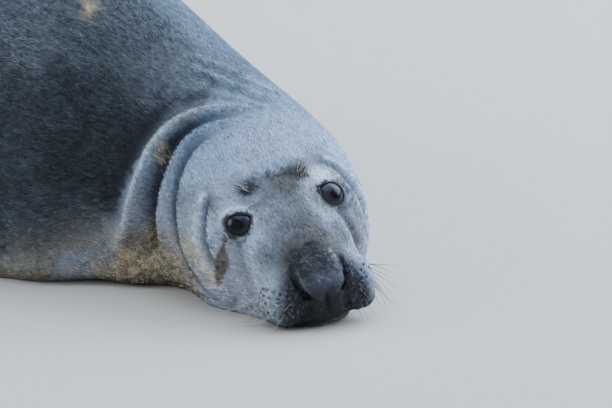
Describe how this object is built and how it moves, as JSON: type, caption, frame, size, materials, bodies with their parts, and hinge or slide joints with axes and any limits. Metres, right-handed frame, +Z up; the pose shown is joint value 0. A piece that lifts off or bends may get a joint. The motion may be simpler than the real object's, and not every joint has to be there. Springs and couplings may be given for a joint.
{
  "type": "grey seal",
  "caption": "Life-size still grey seal lying on its belly, head low and turned to its right, with clawed flippers and folded neck skin.",
  "frame": {"origin": "on the ground, under the middle of the animal's bounding box", "axes": "+X forward along the trunk, +Y to the seal's left, +Z up"},
  "size_m": [1.863, 0.7528, 0.4043],
  "materials": {
    "face_fur": "short pale grey fur, lying flat, slightly damp",
    "body_fur": "short dark blue-grey fur, lying flat, slightly damp",
    "flipper_fur": "very short dark grey fur over skin",
    "eye": "wet and glossy, near black",
    "claw": "dark horn, worn satin"
  },
  "bodies": {
    "root": {"head": "face_fur", "lower_jaw": "face_fur", "neck": "face_fur", "chest": "body_fur", "belly": "body_fur", "hips": "body_fur", "tail": "body_fur", "eye_left": "eye", "fore_flipper_left": "flipper_fur", "fore_claw_left_1": "claw", "fore_claw_left_2": "claw", "fore_claw_left_3": "claw", "fore_claw_left_4": "claw", "fore_claw_left_5": "claw", "hind_flipper_left": "flipper_fur", "hind_claw_left_1": "claw", "hind_claw_left_2": "claw", "hind_claw_left_3": "claw", "hind_claw_left_4": "claw", "hind_claw_left_5": "claw", "eye_right": "eye", "fore_flipper_right": "flipper_fur", "fore_claw_right_1": "claw", "fore_claw_right_2": "claw", "fore_claw_right_3": "claw", "fore_claw_right_4": "claw", "fore_claw_right_5": "claw", "hind_flipper_right": "flipper_fur", "hind_claw_right_1": "claw", "hind_claw_right_2": "claw", "hind_claw_right_3": "claw", "hind_claw_right_4": "claw", "hind_claw_right_5": "claw"}
  },
  "joints": []
}
